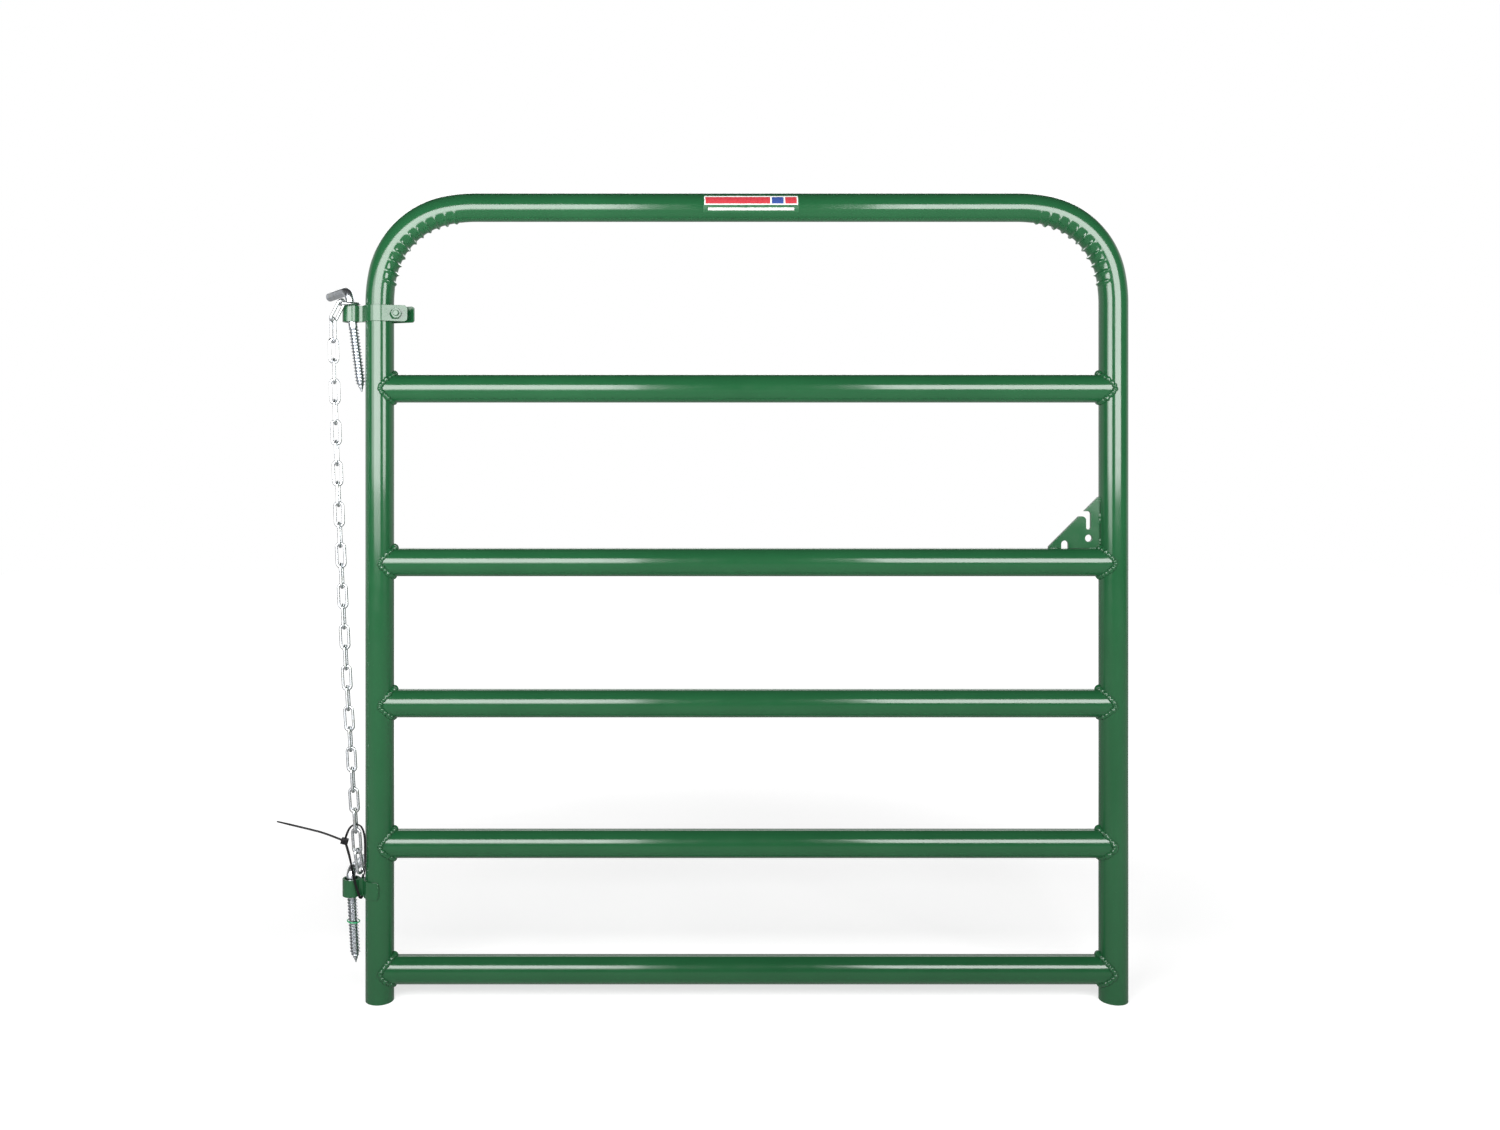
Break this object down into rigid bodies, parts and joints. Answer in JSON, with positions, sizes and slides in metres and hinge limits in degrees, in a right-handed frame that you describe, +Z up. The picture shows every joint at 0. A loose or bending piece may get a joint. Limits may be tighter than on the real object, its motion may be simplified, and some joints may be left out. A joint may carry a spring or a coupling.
{
  "type": "livestock panel gate",
  "caption": "Bow-shaped tube gate for a livestock pen with straight rails, two hinge eyes, screw hooks and a latch chain.",
  "frame": {"origin": "on the hinge line, the common axis of the two hinge eyes, at the level of the tube ends that the gate stands on, in the middle plane of the frame", "axes": "+X from the hinge line along the rails to the latch side, +Z up along the hinge line, -Y is the front"},
  "size_m": [1.3358, 0.0897, 1.27],
  "materials": {
    "gate_paint": "glossy green powder coat over welded steel tube",
    "fastener_paint": "the same green coat on the clamp bolt and nut",
    "hook_zinc": "bright zinc plate",
    "chain_zinc": "bright zinc plate",
    "ring_plastic": "thin green plastic",
    "tie_nylon": "black nylon",
    "label_film": "pale film with plain colour bars and no lettering"
  },
  "bodies": {
    "gate": {"bow_frame": "gate_paint", "rail_1": "gate_paint", "rail_2": "gate_paint", "rail_3": "gate_paint", "rail_4": "gate_paint", "rail_5": "gate_paint", "latch_plate": "gate_paint", "upper_hinge_band": "gate_paint", "carriage_bolt": "fastener_paint", "hex_nut": "fastener_paint", "lower_hinge_eye": "gate_paint", "chain_end_link": "chain_zinc", "cable_tie": "tie_nylon", "label": "label_film"},
    "upper_hook": {"upper_screw_hook": "hook_zinc"},
    "lower_hook": {"lower_screw_hook": "hook_zinc", "retaining_ring": "ring_plastic"},
    "chain_upper": {"chain_link_01": "chain_zinc", "chain_link_02": "chain_zinc", "chain_link_03": "chain_zinc", "chain_link_04": "chain_zinc", "chain_link_05": "chain_zinc", "chain_link_06": "chain_zinc", "chain_link_07": "chain_zinc", "chain_link_08": "chain_zinc", "chain_link_09": "chain_zinc", "chain_link_10": "chain_zinc", "chain_link_11": "chain_zinc", "chain_link_12": "chain_zinc", "chain_link_13": "chain_zinc", "chain_link_14": "chain_zinc"},
    "chain_lower": {"chain_link_15": "chain_zinc", "chain_link_16": "chain_zinc", "chain_link_17": "chain_zinc", "chain_link_18": "chain_zinc", "chain_link_19": "chain_zinc", "chain_link_20": "chain_zinc", "chain_link_21": "chain_zinc", "chain_link_22": "chain_zinc", "chain_link_23": "chain_zinc", "chain_link_24": "chain_zinc", "chain_link_25": "chain_zinc", "chain_link_26": "chain_zinc", "chain_link_27": "chain_zinc", "chain_link_28": "chain_zinc"}
  },
  "joints": [
    {"name": "upper_hook_turn", "type": "hinge", "parent": "gate", "child": "upper_hook", "pos_m": [0.0005, 0, 1.08], "axis": [-0.1305, 0, 0.9914], "range_deg": [-80, 170]},
    {"name": "lower_hook_turn", "type": "hinge", "parent": "gate", "child": "lower_hook", "pos_m": [0.0004, 0, 0.178], "axis": [-0.0593, 0, 0.9982], "range_deg": [-30, 120]},
    {"name": "chain_swing", "type": "hinge", "parent": "gate", "child": "chain_upper", "pos_m": [-0.0092, -0.021, 1.0975], "axis": [0, 1, 0], "range_deg": [-2, 2]},
    {"name": "chain_fold", "type": "hinge", "parent": "chain_upper", "child": "chain_lower", "pos_m": [-0.01025, -0.0165, 0.6537], "axis": [0, 1, 0], "range_deg": [-4, 4]}
  ],
  "couplings": [
    {"joint": "chain_fold", "follows": "chain_swing", "ratio": -2}
  ]
}
